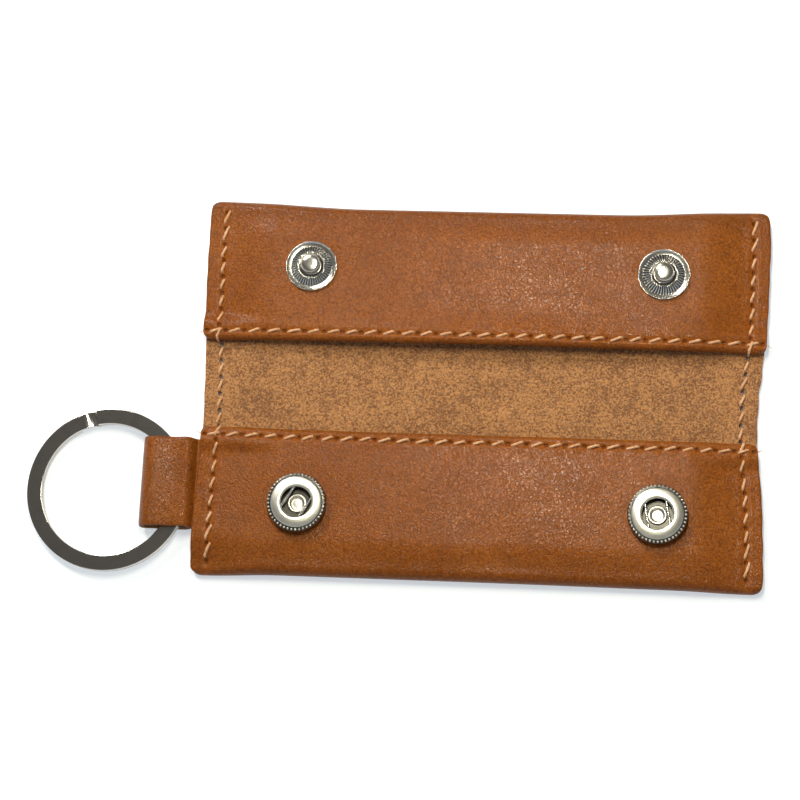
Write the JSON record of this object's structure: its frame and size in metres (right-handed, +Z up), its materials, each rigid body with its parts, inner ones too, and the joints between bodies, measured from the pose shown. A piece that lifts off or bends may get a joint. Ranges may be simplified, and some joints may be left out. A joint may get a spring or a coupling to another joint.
{
  "type": "leather key case",
  "caption": "Folding leather key case with two pocket flaps, snap fasteners and a split ring held in a sewn strap loop.",
  "frame": {"origin": "middle of the spine's underside, on the table the open case lies on", "axes": "+X along the case towards the end away from the ring, +Y towards the half with the studs, +Z up out of the back"},
  "size_m": [0.1362, 0.072, 0.0068],
  "materials": {
    "tan_leather": "smooth pebbled cowhide outside, open flesh side inside",
    "strap_leather": "smooth cowhide strap with raw cut edges",
    "dark_nickel": "polished nickel plate on flat steel strip",
    "nickel": "polished nickel plate on brass sheet",
    "spring_wire": "bright drawn spring wire",
    "thread": "twisted pale sewing thread"
  },
  "bodies": {
    "lower_half": {"shell_lower": "tan_leather", "loop_tail": "strap_leather", "socket_left": "nickel", "socket_right": "nickel", "socket_spring_left": "spring_wire", "socket_spring_right": "spring_wire", "socket_cap_left": "nickel", "socket_cap_right": "nickel", "hem_stitching_lower": "thread", "side_stitching_lower_left": "thread", "side_stitching_lower_right": "thread"},
    "spine": {"shell_spine": "tan_leather", "side_stitching_spine_left": "thread", "side_stitching_spine_right": "thread"},
    "upper_half": {"shell_upper": "tan_leather", "stud_left": "nickel", "stud_right": "nickel", "stud_eyelet_left": "nickel", "stud_eyelet_right": "nickel", "hem_stitching_upper": "thread", "side_stitching_upper_left": "thread", "side_stitching_upper_right": "thread"},
    "strap": {"key_loop": "strap_leather"},
    "ring": {"split_ring": "dark_nickel"}
  },
  "joints": [
    {"name": "lower_fold", "type": "hinge", "parent": "lower_half", "child": "spine", "pos_m": [0, -0.0047, 0.0012], "axis": [1, 0, 0], "range_deg": [0, 90]},
    {"name": "upper_fold", "type": "hinge", "parent": "spine", "child": "upper_half", "pos_m": [0, 0.0047, 0.0012], "axis": [1, 0, 0], "range_deg": [0, 90]},
    {"name": "strap_bend", "type": "hinge", "parent": "lower_half", "child": "strap", "pos_m": [-0.0527, -0.0191, 0.0037], "axis": [0, 1, 0], "range_deg": [0, 75]},
    {"name": "ring_turn", "type": "hinge", "parent": "strap", "child": "ring", "pos_m": [-0.06864, -0.0207, 0.0008], "axis": [-0.0523, 0, 0.9986], "continuous": true}
  ],
  "couplings": [
    {"joint": "upper_fold", "follows": "lower_fold", "ratio": 1}
  ]
}
